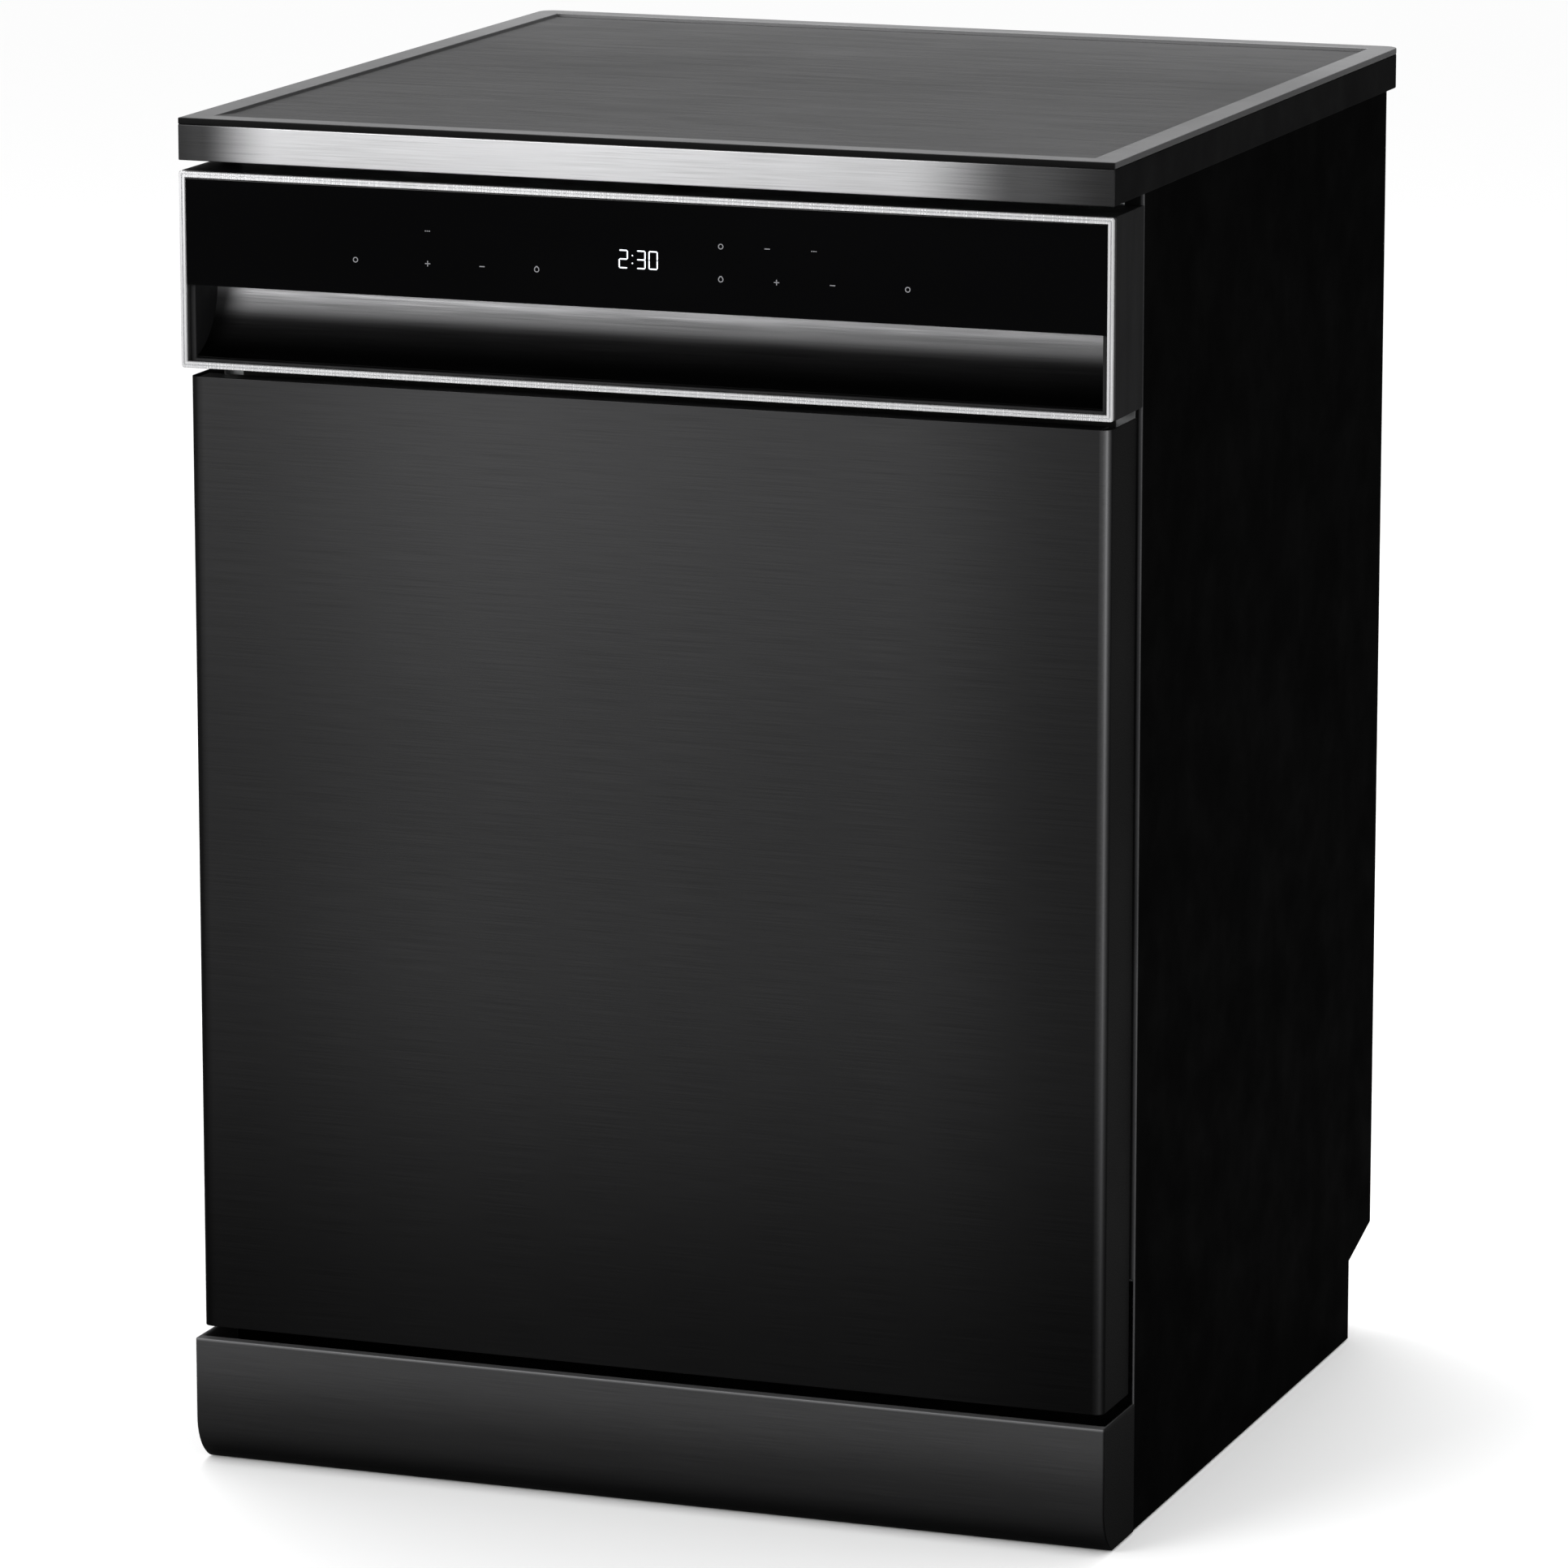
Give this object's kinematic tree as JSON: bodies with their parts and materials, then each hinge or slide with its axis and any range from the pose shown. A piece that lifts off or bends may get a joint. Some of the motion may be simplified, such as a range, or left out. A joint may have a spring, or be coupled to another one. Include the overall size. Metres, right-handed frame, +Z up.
{
  "type": "dishwasher",
  "caption": "Free-standing front-loading dishwasher with worktop, recessed handle fascia, drop-down door, steel tub, sliding baskets and rotating spray arms.",
  "frame": {"origin": "middle of the footprint at floor level", "axes": "+X to the right seen from the front, +Y from the door to the back, +Z up"},
  "size_m": [0.598, 0.6, 0.85],
  "materials": {
    "worktop_board": "fine matt",
    "worktop_sheet": "brushed dark",
    "bright_trim": "brushed bright",
    "black_casing": "satin",
    "galvanised": "zinc",
    "black_plastic": "moulded",
    "dark_steel": "brushed dark",
    "plinth_paint": "satin",
    "tub_steel": "brushed",
    "seal_rubber": "matt",
    "hardware_steel": "plain",
    "works_plastic": "moulded",
    "filter_steel": "perforated",
    "white_plastic": "moulded",
    "grey_plastic": "moulded",
    "blue_plastic": "moulded",
    "bright_frame": "polished",
    "black_glass": "polished",
    "scoop_steel": "brushed",
    "board_green": "circuit board",
    "coated_wire": "coated wire"
  },
  "bodies": {
    "cabinet": {"worktop_core": "worktop_board", "worktop_top": "worktop_sheet", "worktop_trim": "bright_trim", "left_side_panel": "black_casing", "right_side_panel": "black_casing", "rear_panel": "galvanised", "top_crossmember": "galvanised", "base_tray": "black_plastic", "plinth": "plinth_paint", "feet": "black_plastic", "tub_wrap": "tub_steel", "tub_back": "tub_steel", "tub_floor": "tub_steel", "tub_flange": "tub_steel", "tub_gasket": "seal_rubber", "insulation_mats": "black_plastic", "hinge_brackets": "galvanised", "hinge_pins": "hardware_steel", "door_springs": "hardware_steel", "sump": "works_plastic", "fine_filter": "filter_steel", "circulation_pump": "works_plastic", "drain_pump": "works_plastic", "water_softener": "white_plastic", "inlet_valve": "white_plastic", "supply_pipe": "grey_plastic", "fixed_rails": "hardware_steel", "latch_housing": "white_plastic", "mains_inlet": "black_plastic", "casing_screws": "hardware_steel"},
    "door": {"door_panel": "dark_steel", "door_liner": "tub_steel", "fascia_housing": "black_plastic", "fascia_frame": "bright_frame", "control_glass": "black_glass", "handle_scoop": "scoop_steel", "control_board": "board_green", "detergent_dispenser": "grey_plastic", "hinge_arms": "hardware_steel", "door_striker": "hardware_steel"},
    "dispenser_lid": {"dispenser_lid": "grey_plastic"},
    "rinse_aid_cap": {"rinse_aid_cap": "blue_plastic"},
    "latch_lever": {"latch_lever": "white_plastic"},
    "coarse_filter": {"coarse_filter": "grey_plastic"},
    "salt_cap": {"salt_cap": "grey_plastic"},
    "lower_spray_arm": {"lower_spray_arm": "grey_plastic"},
    "upper_basket": {"upper_basket": "coated_wire", "upper_feed_tube": "grey_plastic"},
    "upper_spray_arm": {"upper_spray_arm": "grey_plastic"},
    "top_sprayer": {"top_sprayer": "grey_plastic"},
    "rail_slides": {"rail_slides": "hardware_steel"},
    "cup_shelf_left": {"cup_shelf_left": "grey_plastic"},
    "cup_shelf_right": {"cup_shelf_right": "grey_plastic"},
    "lower_basket": {"lower_basket": "coated_wire"},
    "cutlery_basket": {"cutlery_basket": "grey_plastic"},
    "folding_tines": {"folding_tines": "coated_wire"},
    "wheel_front_left": {"wheel_front_left": "grey_plastic"},
    "wheel_front_right": {"wheel_front_right": "grey_plastic"},
    "wheel_rear_left": {"wheel_rear_left": "grey_plastic"},
    "wheel_rear_right": {"wheel_rear_right": "grey_plastic"}
  },
  "joints": [
    {"name": "door_hinge", "type": "hinge", "parent": "cabinet", "child": "door", "pos_m": [0, -0.235, 0.145], "axis": [1, 0, 0], "range_deg": [0, 90], "deforming": ["door_springs"]},
    {"name": "upper_basket_slide", "type": "slide", "parent": "cabinet", "child": "upper_basket", "axis": [0, -1, 0], "range_m": [0, 0.42]},
    {"name": "rail_slide", "type": "slide", "parent": "cabinet", "child": "rail_slides", "axis": [0, -1, 0], "range_m": [0, 0.21]},
    {"name": "lower_basket_slide", "type": "slide", "parent": "cabinet", "child": "lower_basket", "axis": [0, -1, 0], "range_m": [0, 0.11]},
    {"name": "lower_arm_spin", "type": "hinge", "parent": "cabinet", "child": "lower_spray_arm", "pos_m": [0, 0.00625, 0.17], "axis": [0, 0, 1], "continuous": true},
    {"name": "upper_arm_spin", "type": "hinge", "parent": "upper_basket", "child": "upper_spray_arm", "pos_m": [0, 0.00625, 0.461], "axis": [0, 0, 1], "continuous": true},
    {"name": "top_sprayer_spin", "type": "hinge", "parent": "cabinet", "child": "top_sprayer", "pos_m": [0, 0.00625, 0.786], "axis": [0, 0, 1], "continuous": true},
    {"name": "dispenser_lid_slide", "type": "slide", "parent": "door", "child": "dispenser_lid", "axis": [1, 0, 0], "range_m": [0, 0.055]},
    {"name": "rinse_aid_cap_turn", "type": "hinge", "parent": "door", "child": "rinse_aid_cap", "pos_m": [0.072, -0.232, 0.418], "axis": [0, 1, 0], "range_deg": [0, 90]},
    {"name": "latch_lever_tilt", "type": "hinge", "parent": "cabinet", "child": "latch_lever", "pos_m": [0, -0.214, 0.8177], "axis": [-1, 0, 0], "range_deg": [0, 7], "stiffness_Nm_per_rad": 0.05, "springref_deg": -5.73},
    {"name": "coarse_filter_turn", "type": "hinge", "parent": "cabinet", "child": "coarse_filter", "pos_m": [0.035, -0.02875, 0.12], "axis": [0, 0, 1], "range_deg": [0, 90]},
    {"name": "salt_cap_turn", "type": "hinge", "parent": "cabinet", "child": "salt_cap", "pos_m": [-0.205, 0.15025, 0.16], "axis": [0, 0, 1], "continuous": true},
    {"name": "cup_shelf_left_fold", "type": "hinge", "parent": "upper_basket", "child": "cup_shelf_left", "pos_m": [-0.2399, 0, 0.584], "axis": [0, -1, 0], "range_deg": [0, 80]},
    {"name": "cup_shelf_right_fold", "type": "hinge", "parent": "upper_basket", "child": "cup_shelf_right", "pos_m": [0.2399, 0, 0.584], "axis": [0, 1, 0], "range_deg": [0, 80]},
    {"name": "cutlery_basket_lift", "type": "slide", "parent": "lower_basket", "child": "cutlery_basket", "axis": [0, 0, 1], "range_m": [0, 0.1]},
    {"name": "folding_tines_fold", "type": "hinge", "parent": "lower_basket", "child": "folding_tines", "pos_m": [0, 0.09825, 0.2069], "axis": [1, 0, 0], "range_deg": [0, 85]},
    {"name": "wheel_front_left_roll", "type": "hinge", "parent": "lower_basket", "child": "wheel_front_left", "pos_m": [-0.255, -0.12375, 0.1693], "axis": [1, 0, 0], "continuous": true},
    {"name": "wheel_front_right_roll", "type": "hinge", "parent": "lower_basket", "child": "wheel_front_right", "pos_m": [0.255, -0.12375, 0.1693], "axis": [1, 0, 0], "continuous": true},
    {"name": "wheel_rear_left_roll", "type": "hinge", "parent": "lower_basket", "child": "wheel_rear_left", "pos_m": [-0.255, 0.185, 0.1693], "axis": [1, 0, 0], "continuous": true},
    {"name": "wheel_rear_right_roll", "type": "hinge", "parent": "lower_basket", "child": "wheel_rear_right", "pos_m": [0.255, 0.185, 0.1693], "axis": [1, 0, 0], "continuous": true}
  ],
  "couplings": [
    {"joint": "upper_basket_slide", "follows": "door_hinge", "m_per_rad": 0.267},
    {"joint": "rail_slide", "follows": "door_hinge", "m_per_rad": 0.1335},
    {"joint": "lower_basket_slide", "follows": "door_hinge", "m_per_rad": 0.07}
  ]
}
